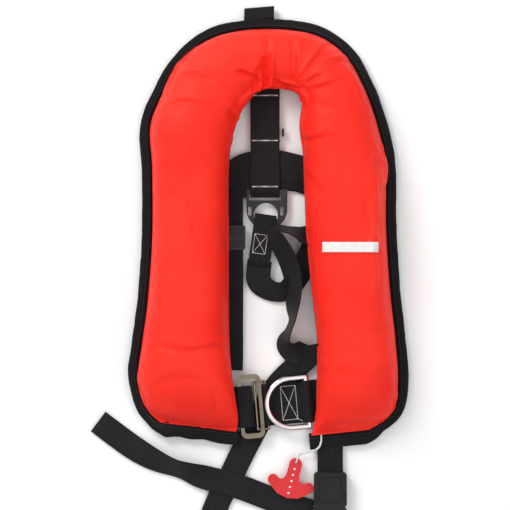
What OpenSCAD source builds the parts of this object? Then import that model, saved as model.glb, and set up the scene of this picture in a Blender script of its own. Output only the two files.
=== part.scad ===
// Inflatable life jacket, laid flat on its back with the front up.
// X runs across the jacket, Y from the hem to the collar, Z up from the surface it lies on.
// The origin is at the nape, under the middle of the collar.

/* [Cover] */
// Height of the packed lobes
lobe_h = 58; // [50:1:70]
// Height of the packed collar
collar_h = 46; // [42:1:60]
// Thickness of the front cover's fabric and lining
cover_t = 1.4; // [1:0.1:2]
// Thickness of the back panel
panel_t = 1.5; // [1:0.1:1.6]
// Width of the binding tape round the edge
binding_w = 8; // [6:1:10]
// Width of the binding at the two hems
hem_w = 14; // [10:1:16]

/* [Webbing] */
// Width of the waist belt
belt_w = 46; // [44:1:48]
// Width of the back strap
back_strap_w = 34; // [30:1:36]
// Width of the crotch strap
crotch_w = 27; // [25:1:30]
// Width of the strap that holds the side-release buckle
buckle_strap_w = 28; // [26:1:28]
// Thickness of all webbing
web_t = 1.4; // [1.2:0.1:1.4]

/* [Metalwork] */
// Wire diameter of the D-ring
ring_wire = 6; // [5:0.5:6]
// Mean radius of the D-ring's bow
ring_r = 27; // [27:0.5:28]
// Length of the buckle frame along its bars
frame_len = 70; // [66:1:72]
// Width of the buckle frame
frame_w = 26; // [25:1:26]

/* [Pull handle] */
// Thickness of the pull handle
handle_t = 4.6; // [4:0.1:4.6]
// Diameter of the pull cord
cord_d = 2.2; // [2:0.1:2.2]

/* [Inflator] */
// Radius of the gas cylinder
cylinder_r = 15; // [14:0.5:15]
// Radius of the cylinder's threaded neck
neck_r = 6.3; // [6:0.1:6.3]

/* [Hidden] */
$fn = 48;

// Stations along the cover: outer edge x, y, inner edge x, y and height there.
cover_stations = [
    [-124, -402, -40, -413, 11], [-138, -386, -40, -396, 36], [-147, -352, -41, -364, 54],
    [-143, -315, -42, -320, lobe_h], [-137, -270, -42, -270, lobe_h],
    [-132, -200, -42, -200, lobe_h], [-132, -125, -42, -125, lobe_h],
    [-134, -78, -37, -86, lobe_h], [-120, -42, -28, -62, 55], [-100, -8, -20, -49, 52],
    [-64, 21, -10, -42, 48], [-12, 31, 4, -39, collar_h], [45, 26, 16, -39, 48],
    [82, 4, 25, -41, 52], [104, -32, 32, -49, 55], [120, -76, 29, -78, lobe_h],
    [129, -122, 33, -112, lobe_h], [130, -190, 36, -190, lobe_h],
    [134, -255, 42, -255, lobe_h], [140, -310, 48, -310, lobe_h], [143, -358, 50.8, -362, 52],
    [137, -390, 50.8, -396, 34], [112, -410, 50.6, -416, 11]
];
last_station = len(cover_stations) - 1;
station_steps = 2;
arch_points = 12;
// The front cover's inner edge stands clear of the straps that pass under it.
cover_foot = 7.6;
// Stations between which the folded bladder lies.
bladder_span = [2, last_station - 2];
bladder_gap = 3;
bladder_floor = 39;
bladder_foot = 11;

// Heights of the webbing layers.
belt_z = 3.4;
strap_z = 1.6;
strap_loop_h = 5.6;

// Buckle and D-ring places.
belt_y = -383;
// The whole buckle line lies a little askew, turned about its middle.
buckle_turn = 5;
bar_x = -32;
frame_z = 9;
link_x = -3.5;
link_z = belt_z + web_t + 1.7;
d_bar_x = 41;
d_z = 9.6;
d_tilt = 5;

// Inflator places.
inflator_x = 92;
inflator_z = 23.5;
inflator_top = -330;
inflator_bottom = -372;
stem_x = 107;
stem_y = -346;
lever_pivot = [80.5, -366];
lever_len = 22;

// Oral tube places.
oral_x = -88;
oral_z = 18;

// Side-release buckle places.
release_x = 66;
release_y = -494;
release_z = 2.2;
release_h = 10;

// Pull cord route: from the lever's eye down to the hem, then slack to the handle.
cord_route = [
    [56, -352, 7.8], [56, -361, 7.8], [56, -370, 7.8], [56, -379, 7.8], [56, -388, 7.8],
    [56, -397, 7.8], [56, -406, 7.8], [56, -415, 7.8], [56, -423, 7.8], [54, -429, 7.4],
    [49.5, -433, 6.4], [43, -435, 5.2], [38, -436, 4.6], [33, -438, 4.3], [30.2, -442, 4.3]
];
// Crotch strap routes: x, y, z and roll of the webbing about its own line.
crotch_upper = [
    [-12.8, -236, 4.4, 0], [-13.6, -245, 3, 0], [-10, -255, 1.6, 0], [-2, -261, 1.2, 0],
    [9, -261, 1.2, 0], [19, -255, 3, 20], [27, -244, 9, 50], [32, -230, 13.8, 75],
    [33, -216, 15, 85], [29, -204, 18, 85], [20, -197, 21, 85], [10, -195, 22.5, 80],
    [4, -201, 23, 65], [8, -214, 21, 50], [15, -230, 18, 45], [20, -247, 16, 45],
    [24, -266, 15, 55], [26, -286, 15, 75], [23, -304, 14, 80], [16, -317, 11, 50],
    [11, -328, 5, 15], [10, -341, 2.2, 0], [8, -352, 2.2, 0]
];
crotch_lower = [
    [36, -328, 1.0, 0], [25, -340, 1.0, 0], [9, -361, 1.0, 0], [-4, -385, 1.0, 0],
    [-17, -411, 1.0, 0], [-27, -430, 1.0, 0], [-36, -448, 1.0, 0], [-45, -467, 1.0, 0],
    [-57, -490, 1.0, 0], [-64, -512, 1.0, 0], [-62, -538, 1.0, 0], [-46, -560, 1.0, 0],
    [-18, -570, 1.0, 0], [14, -571, 1.0, 0], [42, -563, 1.0, 0], [60, -545, 1.0, 0],
    [66, -522, 1.0, 0], [66, -508, 1.0, 0]
];
crotch_tail = [
    [-189, -402, 1.0, 0], [-154, -428, 1.0, 0], [-130, -442, 5, 20], [-108, -451, 9, 40],
    [-92, -456, 9, 35], [-72, -463, 5, 8], [-50, -469, 2.7, 0], [-30, -475, 2.6, 0],
    [-12, -482, 1.2, 0], [6, -489, 1.0, 0], [30, -497, 1.0, 0], [46, -502, 1.0, 0]
];

// Catmull-Rom curve through points of any dimension.
function curve_at(a, b, c, d, t) =
    0.5 * (2 * b + (c - a) * t + (2 * a - 5 * b + 4 * c - d) * t * t
           + (3 * b - a - 3 * c + d) * t * t * t);
function smooth(p, steps) = [
    for (i = [0:len(p) - 2]) for (k = [0:steps - 1])
        curve_at(p[max(i - 1, 0)], p[i], p[i + 1], p[min(i + 2, len(p) - 1)], k / steps),
    p[len(p) - 1]
];
function unit(v) = v / norm(v);
function xyz(p) = [p[0], p[1], p[2]];
function flat(list) = [for (row = list) for (p = row) p];
function tangent(p, i) = unit(xyz(p[min(i + 1, len(p) - 1)]) - xyz(p[max(i - 1, 0)]));

// Closed skin over rings that all have the same number of points.
module skin(rings) {
    m = len(rings[0]);
    n = len(rings);
    sides = [
        for (i = [0:n - 2]) for (j = [0:m - 1]) for (half = [0, 1])
            let (a = i * m + j, b = i * m + (j + 1) % m, c = a + m, d = b + m)
                half == 0 ? [a, b, d] : [a, d, c]
    ];
    caps = [[for (j = [m - 1:-1:0]) j], [for (j = [0:m - 1]) (n - 1) * m + j]];
    polyhedron(flat(rings), concat(sides, caps), convexity = 10);
}

// Flat webbing that follows points of x, y, z and roll.
module ribbon(points, width, t = web_t, steps = 3) {
    p = smooth(points, steps);
    skin([
        for (i = [0:len(p) - 1])
            let (
                along = tangent(p, i),
                level = unit(cross([0, 0, 1], along)),
                across = cos(p[i][3]) * level + sin(p[i][3]) * cross(along, level),
                up = cross(along, across),
                w = across * width / 2,
                h = up * t / 2,
                c = xyz(p[i])
            ) [c - w - h, c - w + h, c + w + h, c + w - h]
    ]);
}

// Round cord through route points.
module cord(points, d, sides = 8, steps = 2) {
    p = smooth(points, steps);
    skin([
        for (i = [0:len(p) - 1])
            let (
                along = tangent(p, i),
                level = unit(cross([0, 0, 1], along)),
                up = cross(along, level)
            ) [for (k = [0:sides - 1])
                xyz(p[i]) + (cos(360 * k / sides) * level - sin(360 * k / sides) * up) * d / 2]
    ]);
}

// Outline of a strip of the given thickness that follows points in a plane.
function side_of(p, i, d) =
    let (v = unit(p[min(i + 1, len(p) - 1)] - p[max(i - 1, 0)])) p[i] + d * [-v[1], v[0]];
module strip(points, t) {
    n = len(points) - 1;
    polygon(concat([for (i = [0:n]) side_of(points, i, t / 2)],
                   [for (i = [n:-1:0]) side_of(points, i, -t / 2)]));
}

// Long hole or bar with round ends, from the origin along +X.
module stadium(len, h) {
    translate([h / 2, -h / 2]) square([len - h, h]);
    translate([h / 2, 0]) circle(d = h);
    translate([len - h / 2, 0]) circle(d = h);
}

// Webbing sewn into a closed loop, seen from the side: from the origin along +X, bottom at 0.
module loop_outline(len, h) {
    translate([0, h / 2]) difference() {
        stadium(len, h);
        translate([web_t, 0]) stadium(len - 2 * web_t, h - 2 * web_t);
    }
}
// The same loop as a solid that runs along -Y and is centred on X = 0.
module web_loop(len, h, width) {
    rotate([0, 0, -90]) translate([0, width / 2, 0]) rotate([90, 0, 0])
        linear_extrude(width) loop_outline(len, h);
}

module rounded_plate(size, r, t) {
    linear_extrude(t) rounded_square(size, r);
}
module rounded_square(size, r) {
    translate([-size[0] / 2 + r, -size[1] / 2]) square([size[0] - 2 * r, size[1]]);
    translate([-size[0] / 2, -size[1] / 2 + r]) square([size[0], size[1] - 2 * r]);
    for (x = [-1, 1], y = [-1, 1])
        translate([x * (size[0] / 2 - r), y * (size[1] / 2 - r)]) circle(r);
}

// Turns the buckle line's pieces about its middle.
module on_buckle_line() {
    translate([0, belt_y, 0]) rotate([0, 0, buckle_turn]) children();
}

// Cylinder from a point along +Y.
module along_y(x, y, z, r, len) {
    translate([x, y, z]) rotate([-90, 0, 0]) cylinder(r = r, h = len);
}

// Edges of the cover as smooth paths.
outer_path = smooth([for (s = cover_stations) [s[0], s[1]]], station_steps);
inner_path = smooth([for (s = cover_stations) [s[2], s[3]]], station_steps);
heights = smooth([for (s = cover_stations) [s[4]]], station_steps);
path_end = len(outer_path) - 1;
edge_path = concat([inner_path[0]], outer_path, [inner_path[path_end]]);

// One arch across the cover: inset pulls it in from both edges and from above, and the arch
// starts at the height base.
fullness = 0.62;
function arch(i, inset, base = cover_foot, points = arch_points) =
    let (o = outer_path[i], n = inner_path[i], w = norm(n - o), rise = heights[i][0] - inset - cover_foot,
         first = asin(pow((base - cover_foot) / rise, 1 / fullness)))
    [for (k = [0:points - 1])
        let (a = first + (180 - 2 * first) * k / (points - 1),
             q = o + (n - o) * (inset / w + (1 - 2 * inset / w) * (1 - cos(a)) / 2))
        [q[0], q[1], cover_foot + rise * pow(max(sin(a), 0), fullness)]];
function reverse(list) = [for (i = [len(list) - 1:-1:0]) list[i]];

module front_cover() {
    color("orangered") skin([
        for (i = [0:path_end])
            concat(reverse(arch(i, 0)), arch(i, cover_t))
    ]);
}

module back_panel() {
    color("black") linear_extrude(panel_t)
        polygon(concat(outer_path, reverse(inner_path)));
}

module edge_binding() {
    n = len(edge_path) - 1;
    tape = [
        for (i = [0:n])
            let (
                v = unit(edge_path[min(i + 1, n)] - edge_path[max(i - 1, 0)]),
                hem = i < 2 || i > n - 2
            ) edge_path[i] + (hem ? hem_w : binding_w) * [-v[1], v[0]]
    ];
    mouth = [release_x - 20, release_x + 17];
    color("black") difference() {
        linear_extrude(cover_foot + 3) polygon(concat(tape, reverse(edge_path)));
        translate([mouth[0], -440, panel_t]) cube([mouth[1] - mouth[0], 60, 7.7]);
    }
}

module closure_tape() {
    first = 4;
    last = path_end - 4;
    tape_w = 16;
    inner = [
        for (i = [first:last])
            outer_path[i] + unit(inner_path[i] - outer_path[i]) * tape_w
    ];
    color("dimgray") translate([0, 0, panel_t]) linear_extrude(1.6)
        polygon(concat([for (i = [first:last]) outer_path[i]], reverse(inner)));
}

module hang_loop() {
    color("black") translate([-12, 52.5, 2.8]) web_loop(13.5, 4.6, 34);
}

// Pale reflective bar that follows the curve of the right lobe.
module reflective_bar() {
    span = [62, 112];
    edges = [36.5, 131];
    y = -211;
    half = 3.5;
    function top_at(x) =
        let (a = acos(1 - 2 * (x - edges[0]) / (edges[1] - edges[0])))
        cover_foot + (lobe_h - cover_foot) * pow(sin(a), fullness) + 0.5;
    color("gainsboro") skin([
        for (x = [span[0]:5:span[1]])
            [[x, y - half, top_at(x) + 0.6], [x, y + half, top_at(x) + 0.6],
             [x, y + half, top_at(x)], [x, y - half, top_at(x)]]
    ]);
}

// Folded air chamber: an arch that stays clear of the cover, over a flat underside.
module bladder() {
    first = bladder_span[0] * station_steps;
    last = bladder_span[1] * station_steps;
    gap = cover_t + bladder_gap;
    color("gold") skin([
        for (i = [first:last])
            let (
                side = min(i - first, last - i) / station_steps,
                rise = min(max((6 - side) / 2, 0), 1)
            ) reverse(arch(i, gap, bladder_foot + rise * (bladder_floor - bladder_foot), 10))
    ]);
}

module bladder_reflectors() {
    for (x = [-88, 84])
        color("silver") translate([x, -165, lobe_h - 4.3]) rounded_plate([20, 44], 2, 0.5);
}

module lifting_becket() {
    color("white") translate([96, -125, 5.2]) web_loop(70, 4.6, 20);
}

module oral_tube() {
    color("black") difference() {
        union() {
            along_y(oral_x, -300, oral_z, 6, 96);
            translate([oral_x, -306, oral_z - 9]) cylinder(r = 11, h = 26);
        }
        along_y(oral_x, -306, oral_z, 3.5, 103);
    }
}

module oral_valve() {
    color("white") difference() {
        union() {
            along_y(oral_x, -204, oral_z, 7.5, 6);
            along_y(oral_x, -198, oral_z, 6, 10);
        }
        along_y(oral_x, -205, oral_z, 2.5, 18);
    }
}

module dust_cap() {
    color("yellow") difference() {
        along_y(oral_x, -197.8, oral_z, 8.5, 13);
        along_y(oral_x, -198, oral_z, 6.05, 10.5);
    }
}

module whistle() {
    color("orange") translate([-96, -125, 8]) difference() {
        union() {
            rounded_plate([18, 44], 5, 8);
            translate([0, 30, 0]) cylinder(r = 5, h = 4);
            translate([-4, 20, 0]) cube([8, 8, 4]);
        }
        translate([0, 30, -1]) cylinder(r = 2, h = 6);
        translate([-5, -23, 2.5]) cube([10, 30, 3]);
        translate([-5, -2, 4]) cube([10, 6, 5]);
    }
}

module manifold_stem() {
    color("dimgray") difference() {
        union() {
            translate([stem_x, stem_y, bladder_floor - 2.4]) cylinder(r = 14, h = 2);
            translate([stem_x, stem_y, 8]) cylinder(r = 4.4, h = bladder_floor - 10);
        }
        translate([stem_x, stem_y, 7]) cylinder(r = 1.5, h = bladder_floor);
    }
}

module manifold_nut() {
    color("silver") translate([stem_x, stem_y, 7.4]) difference() {
        cylinder(r = 8, h = 4.4, $fn = 6);
        translate([0, 0, -1]) cylinder(r = 4.45, h = 7);
    }
}

module inflator_body() {
    color("gold") difference() {
        union() {
            along_y(inflator_x, inflator_bottom, inflator_z, 12.5, 42);
            translate([inflator_x, stem_y - 10, 12]) cube([25, 20, 20]);
            translate([lever_pivot[0] - 6, lever_pivot[1] - 6, 12.2]) cube([14, 14, 8]);
        }
        along_y(inflator_x, inflator_top - 12, inflator_z, neck_r + 0.05, 13);
        along_y(inflator_x, inflator_bottom + 8, inflator_z, 1.95, 24);
        along_y(inflator_x, inflator_bottom - 1, inflator_z, 9.05, 13);
        translate([stem_x, stem_y, 5]) cylinder(r = 4.45, h = 40);
        translate([lever_pivot[0], lever_pivot[1], 5]) cylinder(r = 1.5, h = 13);
    }
}

module lever_pin() {
    color("silver") translate([lever_pivot[0], lever_pivot[1], 8.6]) cylinder(r = 1.5, h = 9.4);
}

// Flat lever under the inflator: its eye starts beside the cord's upper end.
module manual_lever() {
    color("black") translate([lever_pivot[0], lever_pivot[1], 9.1]) rotate([0, 0, 150])
        difference() {
            linear_extrude(2.8) {
                circle(5);
                translate([0, -3]) square([lever_len, 6]);
                translate([lever_len, 0]) circle(4);
            }
            translate([0, 0, -1]) cylinder(r = 1.55, h = 5);
            translate([lever_len, 0, -1]) cylinder(r = 1.4, h = 5);
        }
}

module piercing_pin() {
    color("silver") along_y(inflator_x, inflator_bottom + 14, inflator_z, 1.9, 15);
}

module bobbin() {
    color("ivory") difference() {
        along_y(inflator_x, inflator_bottom + 0.4, inflator_z, 9, 7);
        along_y(inflator_x, inflator_bottom, inflator_z, 4, 8);
    }
}

module bobbin_cap() {
    color("green") along_y(inflator_x, inflator_bottom - 7, inflator_z, 11.5, 6.8);
}

// Gas cylinder: a revolved outline with a round end and a threaded neck.
module gas_cylinder() {
    body_len = 110;
    color("darkgray") translate([inflator_x, inflator_top - 11.5, inflator_z]) rotate([-90, 0, 0])
        difference() {
            union() {
                cylinder(r = neck_r, h = 14);
                translate([0, 0, 14]) cylinder(r1 = neck_r, r2 = cylinder_r, h = 9);
                translate([0, 0, 23]) cylinder(r = cylinder_r, h = body_len - 23);
                translate([0, 0, body_len]) sphere(cylinder_r);
            }
            translate([0, 0, -1]) cylinder(r = 2.2, h = 9);
        }
}

module pull_cord() {
    color("white") cord(cord_route, cord_d);
}

// T handle: a stem with a hole for the cord and two arms that sweep up at their ends.
module pull_handle() {
    tilt = -14.2;
    stem_w = 14;
    arm_r = 5.8;
    arm = [[0, -9], [12, -6.4], [23, 2], [17.6, 11.8], [12, 9.4], [8.4, 12], [7, 18], [0, 19]];
    arm_x = 20;
    color("red") translate([21, -477, 2]) rotate([0, 0, tilt]) difference() {
        union() {
            linear_extrude(handle_t) {
                translate([-stem_w / 2, -2]) square([stem_w, 31]);
                translate([0, 29]) circle(stem_w / 2);
                for (side = [-1, 1]) translate([side * arm_x, 7.2]) circle(arm_r);
                polygon(concat(arm, [for (q = reverse(arm)) [-q[0], q[1]]]));
            }
        }
        translate([0, 31, -1]) cylinder(r = 1.6, h = 10);
        for (k = [0:4])
            translate([0, 24 - 7 * k, handle_t - 0.5]) cylinder(r = 0.9, h = 1);
    }
}

module back_strap() {
    color("black") translate([-5.5, -33, strap_z]) web_loop(123, strap_loop_h, back_strap_w);
}

module back_strap_bartacks() {
    color("white") for (y = [-44, -93.5, -144])
        translate([-17, y - 1, strap_z + strap_loop_h]) rounded_plate_corner([23, 1.6], 0.3);
}
module rounded_plate_corner(size, t) {
    translate([size[0] / 2, size[1] / 2, 0]) rounded_plate(size, 0.7, t);
}

module strap_keeper() {
    color("black") translate([11.8, -84, strap_z]) cube([4.4, 9, strap_loop_h]);
}

// Moulded plate: slot for the back strap, half-round window, side holes and curved arms.
module back_plate() {
    plate_t = 2.3;
    window_r = 13;
    color("dimgray") translate([-3.5, -147, strap_z + web_t + 0.2]) linear_extrude(plate_t)
        difference() {
            union() {
                translate([-22.5, -14]) square([45, 14]);
                translate([0, -14]) scale_half(22.5, 30);
            }
            translate([-19.5, -12]) square([35, 7.5]);
            translate([-1, -28]) intersection() {
                circle(window_r);
                translate([-window_r, 0]) square([2 * window_r, window_r]);
            }
            translate([-1 - window_r, -32]) square([2 * window_r, 4.1]);
            for (x = [-18.5, 16.5]) translate([x, -24]) rounded_square([3.6, 10], 1.7);
        }
}
module scale_half(r, depth) {
    intersection() {
        translate([0, -depth + r]) union() {
            circle(r);
            translate([-r, 0]) square([2 * r, depth - r]);
        }
        translate([-r, -depth]) square([2 * r, depth]);
    }
}

module back_tab() {
    color("black") translate([-4.5, -174.5, strap_z]) rotate([0, 0, -8])
        web_loop(58, strap_loop_h, 24);
}

module cross_stitch(size) {
    thread = 0.8;
    for (x = [-1, 1]) translate([x * size[0] / 2, 0, 0]) cube([thread, size[1], thread], true);
    for (y = [-1, 1]) translate([0, y * size[1] / 2, 0])
        cube([size[0] + thread, thread, thread], true);
    diagonal = norm(size);
    for (side = [-1, 1]) rotate([0, 0, side * atan2(size[1], size[0])])
        cube([diagonal, thread, thread], true);
}

module back_tab_stitching() {
    color("white") translate([-11, -207, strap_z + strap_loop_h + 0.4]) rotate([0, 0, -8])
        cross_stitch([15, 22]);
}

module waist_belt_back() {
    color("black") translate([-44, -147, belt_z]) cube([100, belt_w - 2, web_t]);
}

module waist_belt_left() {
    reach = 20;
    loop_h = 11.2;
    color("black") {
        translate([-75, -345, belt_z]) cube([46, 197, web_t]);
        on_buckle_line() translate([bar_x + 14 - reach, belt_w / 2, frame_z - loop_h / 2])
            rotate([90, 0, 0]) linear_extrude(belt_w) loop_outline(reach, loop_h);
        translate([-75, -404, belt_z]) cube([39, 60, web_t]);
    }
}

module belt_slider() {
    plate = [50, 27];
    color("dimgray") translate([-52, -200, 0]) difference() {
        translate([0, 0, 1.7]) rounded_plate(plate, 3, 5.7);
        translate([-23.2, -20, belt_z - 0.2]) cube([46.7, 40, web_t + 0.4]);
        for (y = [-7, 7]) translate([0, y, 5.2]) rounded_plate([44, 6], 2, 5);
    }
}

// Stainless frame: two long bars and two short legs with round corners.
module buckle_frame() {
    color("tan") on_buckle_line() translate([bar_x + frame_w / 2 - 2, 0, frame_z - 2])
        difference() {
            rounded_plate([frame_w, frame_len], 7, 4);
            translate([0, 0, -1]) rounded_plate([frame_w - 8, frame_len - 11], 3, 6);
        }
}

// Small wire ring that joins the frame to the right belt: its far bar stands up in the frame.
module buckle_link() {
    wire = 1.5;
    half = belt_w / 2 + 3;
    far_x = link_x - 12;
    far_z = frame_z;
    color("silver") on_buckle_line() {
        for (p = [[link_x, link_z], [far_x, far_z]]) along_y(p[0], -half, p[1], wire, 2 * half);
        for (side = [-1, 1]) translate([0, side * half, 0]) {
            translate([far_x, 0, 5]) cylinder(r = wire, h = far_z - 5);
            translate([far_x, 0, 5]) rotate([0, 90, 0]) cylinder(r = wire, h = link_x - far_x);
            translate([link_x, 0, 5]) cylinder(r = wire, h = link_z - 5);
            for (p = [[far_x, 5], [link_x, 5], [far_x, far_z], [link_x, link_z]])
                translate([p[0], 0, p[1]]) sphere(wire);
        }
    }
}

// Right belt end: folded round the link, sewn flat, then raised over the D-ring's bar.
module waist_belt_right() {
    low = belt_z + web_t / 2;
    lap = low + web_t + 0.1;
    top = d_z + ring_wire / 2 + 0.3 + web_t / 2;
    fold = [
        [106, low], [link_x - 1, low], [link_x - 2.8, low + 0.8], [link_x - 3.4, low + 2.3],
        [link_x - 2.8, low + 4], [link_x - 1, low + 4.9], [link_x + 1.5, low + 4.6],
        [link_x + 4.5, lap + 0.6], [link_x + 8, lap], [32, lap], [34.5, lap + 1],
        [36.5, top - 4], [38, top - 1], [d_bar_x, top], [44, top - 1], [45.5, top - 4],
        [47.5, lap + 1], [50, lap], [88, lap]
    ];
    color("black") {
        on_buckle_line() translate([0, belt_w / 2, 0]) rotate([90, 0, 0])
            linear_extrude(belt_w) strip(fold, web_t);
        translate([60, belt_y + belt_w / 2 - 1, belt_z]) cube([46, 200, web_t]);
        translate([60, -163, belt_z]) cube([46, 58, web_t]);
    }
}

module belt_stitching() {
    color("white") on_buckle_line() translate([21, 0, belt_z + 2 * web_t + 0.6])
        cross_stitch([17, 38]);
}

module d_ring() {
    leg = 17.5;
    color("gainsboro") on_buckle_line() translate([d_bar_x, 0, d_z]) rotate([0, d_tilt, 0]) {
        rotate([90, 0, 0]) cylinder(d = ring_wire, h = 2 * ring_r, center = true);
        for (side = [-1, 1]) translate([0, side * ring_r, 0]) {
            sphere(d = ring_wire);
            rotate([0, -90, 0]) cylinder(d = ring_wire, h = leg);
        }
        translate([-leg, 0, 0]) rotate([0, 0, 90]) rotate_extrude(angle = 180)
            translate([ring_r, 0]) circle(d = ring_wire);
    }
}

module crotch_strap() {
    color("black") {
        ribbon(crotch_upper, crotch_w);
        ribbon(crotch_lower, crotch_w);
    }
}

module crotch_strap_tail() {
    color("black") ribbon(crotch_tail, crotch_w);
}

module crotch_strap_loop() {
    color("black") translate([release_x, release_y - 11.5, release_z]) web_loop(26, 8.6, crotch_w);
}

// Strap from inside the hem to the side-release buckle.
module buckle_strap() {
    side_view = [
        [-409.5, 3.9], [-448, 3.9], [-453, 4.6], [-457, 5.6], [-461, 5.9], [-469, 5.9]
    ];
    color("black") translate([release_x - buckle_strap_w / 2, 0, 0]) rotate([90, 0, 90])
        linear_extrude(buckle_strap_w) strip(side_view, web_t);
}

// Female half: a flat box with side windows for the prongs.
module buckle_female() {
    color("black") translate([release_x, release_y + 18, release_z]) difference() {
        rounded_plate([36, 38], 4, release_h);
        translate([-15.3, -20, 2]) cube([30.6, 24, release_h - 4]);
        for (side = [-1, 1]) translate([side * 18 - 4, -12, 2]) cube([8, 10, release_h - 4]);
        translate([-15.5, 6, 2.4]) cube([31, 15, 2.6]);
    }
}

// Male half: a base with two adjuster slots, a centre tongue and two sprung prongs.
module buckle_male() {
    color("black") translate([release_x, release_y, release_z]) {
        difference() {
            translate([0, -14.5, 0]) rounded_plate([36, 27], 4, release_h);
            translate([-14.3, -26, -1]) cube([28.6, 6.4, release_h + 2]);
            translate([-14.3, -15, -1]) cube([28.6, 6, release_h + 2]);
            for (z = [-1, 7.05]) translate([-14.3, -30, z]) cube([28.6, 20, z < 0 ? 2.55 : 4]);
        }
        translate([-3, -2, 3]) cube([6, 20, release_h - 6]);
        for (side = [-1, 1]) translate([side * 11.5, 0, 0]) {
            translate([-2, -2, 3]) cube([4, 16, release_h - 6]);
            translate([side * 1.5 - 2, 9, 3]) cube([4, 6, release_h - 6]);
        }
    }
}

front_cover();
back_panel();
edge_binding();
closure_tape();
hang_loop();
reflective_bar();
bladder();
bladder_reflectors();
lifting_becket();
oral_tube();
oral_valve();
dust_cap();
whistle();
manifold_stem();
manifold_nut();
inflator_body();
manual_lever();
lever_pin();
piercing_pin();
bobbin();
bobbin_cap();
gas_cylinder();
pull_cord();
pull_handle();
back_strap();
back_strap_bartacks();
strap_keeper();
back_plate();
back_tab();
back_tab_stitching();
waist_belt_back();
waist_belt_left();
belt_slider();
buckle_frame();
buckle_link();
waist_belt_right();
belt_stitching();
d_ring();
crotch_strap();
crotch_strap_tail();
crotch_strap_loop();
buckle_strap();
buckle_female();
buckle_male();
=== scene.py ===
import math
import bpy
import numpy as np
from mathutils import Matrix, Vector, noise


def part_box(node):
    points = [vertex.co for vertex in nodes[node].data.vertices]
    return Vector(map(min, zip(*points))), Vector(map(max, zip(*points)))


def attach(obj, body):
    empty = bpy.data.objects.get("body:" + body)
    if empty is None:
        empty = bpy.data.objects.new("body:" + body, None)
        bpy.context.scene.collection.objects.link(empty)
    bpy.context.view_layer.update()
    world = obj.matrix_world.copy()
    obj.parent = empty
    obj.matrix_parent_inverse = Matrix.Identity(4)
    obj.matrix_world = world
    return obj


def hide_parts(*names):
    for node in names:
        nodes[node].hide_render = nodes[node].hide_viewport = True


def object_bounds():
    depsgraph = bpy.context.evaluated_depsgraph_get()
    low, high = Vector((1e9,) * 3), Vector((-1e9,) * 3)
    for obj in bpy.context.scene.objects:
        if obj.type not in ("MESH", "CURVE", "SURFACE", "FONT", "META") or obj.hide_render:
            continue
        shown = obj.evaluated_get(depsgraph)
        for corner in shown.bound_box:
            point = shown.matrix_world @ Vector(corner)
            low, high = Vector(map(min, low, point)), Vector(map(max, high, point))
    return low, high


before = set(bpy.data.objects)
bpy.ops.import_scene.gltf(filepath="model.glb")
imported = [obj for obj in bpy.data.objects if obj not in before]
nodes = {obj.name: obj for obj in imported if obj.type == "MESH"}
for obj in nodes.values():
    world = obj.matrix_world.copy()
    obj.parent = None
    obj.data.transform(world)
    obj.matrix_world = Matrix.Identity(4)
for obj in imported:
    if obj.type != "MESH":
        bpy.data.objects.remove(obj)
cad_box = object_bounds()
MM = 0.001        # one millimetre in Blender units; shapes below are written in mm
scene = bpy.context.scene
scene.view_settings.view_transform = "Standard"

# ---------------------------------------------------------------- helpers


def smooth(points, steps):
    """Catmull-Rom curve through points of any dimension."""
    p = np.asarray(points, float)
    out = []
    for i in range(len(p) - 1):
        a, b, c, d = p[max(i - 1, 0)], p[i], p[i + 1], p[min(i + 2, len(p) - 1)]
        for k in range(steps):
            t = k / steps
            out.append(0.5 * (2 * b + (c - a) * t + (2 * a - 5 * b + 4 * c - d) * t * t
                              + (3 * b - a - 3 * c + d) * t ** 3))
    out.append(p[-1])
    return np.array(out)


def tangents(p):
    """Unit direction of a line at each of its points."""
    t = np.gradient(p[:, :3], axis=0)
    return t / np.linalg.norm(t, axis=1)[:, None]


def distances(p):
    """Distance walked along a line at each of its points."""
    return np.concatenate([[0], np.cumsum(np.linalg.norm(np.diff(p, axis=0), axis=1))])


def skin(rings, sides, start=0):
    """Faces between closed rings of points that are numbered from start."""
    return [(start + i * sides + k, start + i * sides + (k + 1) % sides,
             start + (i + 1) * sides + (k + 1) % sides, start + (i + 1) * sides + k)
            for i in range(rings - 1) for k in range(sides)]


def caps(rings, sides, start=0):
    """The two end faces of such a skin."""
    return [tuple(range(start + sides - 1, start - 1, -1)),
            tuple(range(start + (rings - 1) * sides, start + rings * sides))]


def grid_faces(n, m):
    """Faces of an open grid of n rows of m points."""
    return [(i * m + j, (i + 1) * m + j, (i + 1) * m + j + 1, i * m + j + 1)
            for i in range(n - 1) for j in range(m - 1)]


def joined(parts):
    """One list of points and one of faces from several such pairs."""
    verts, faces = [], []
    for v, f in parts:
        faces += [tuple(i + len(verts) for i in face) for face in f]
        verts += v
    return verts, faces


def new_object(name, verts, faces, material, body, uvs=None, replaces=(), shade=True):
    """A mesh piece in metres that rides on a body. uvs is one (u, v) in metres per vertex."""
    mesh = bpy.data.meshes.new(name)
    mesh.from_pydata([tuple(v) for v in verts], [], faces)
    if uvs is not None:
        layer = mesh.uv_layers.new(name="strap")
        for loop in mesh.loops:
            layer.data[loop.index].uv = uvs[loop.vertex_index]
    mesh.validate()
    mesh.materials.append(material)
    for poly in mesh.polygons:
        poly.use_smooth = shade
    piece = bpy.data.objects.new(name, mesh)
    scene.collection.objects.link(piece)
    if body:
        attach(piece, body)
    if replaces:
        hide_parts(*replaces)
    return piece


def bevel(piece, width, segments=2, angle=35):
    m = piece.modifiers.new("edges", "BEVEL")
    m.width = width
    m.segments = segments
    m.limit_method = "ANGLE"
    m.angle_limit = math.radians(angle)
    m.harden_normals = True


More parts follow.
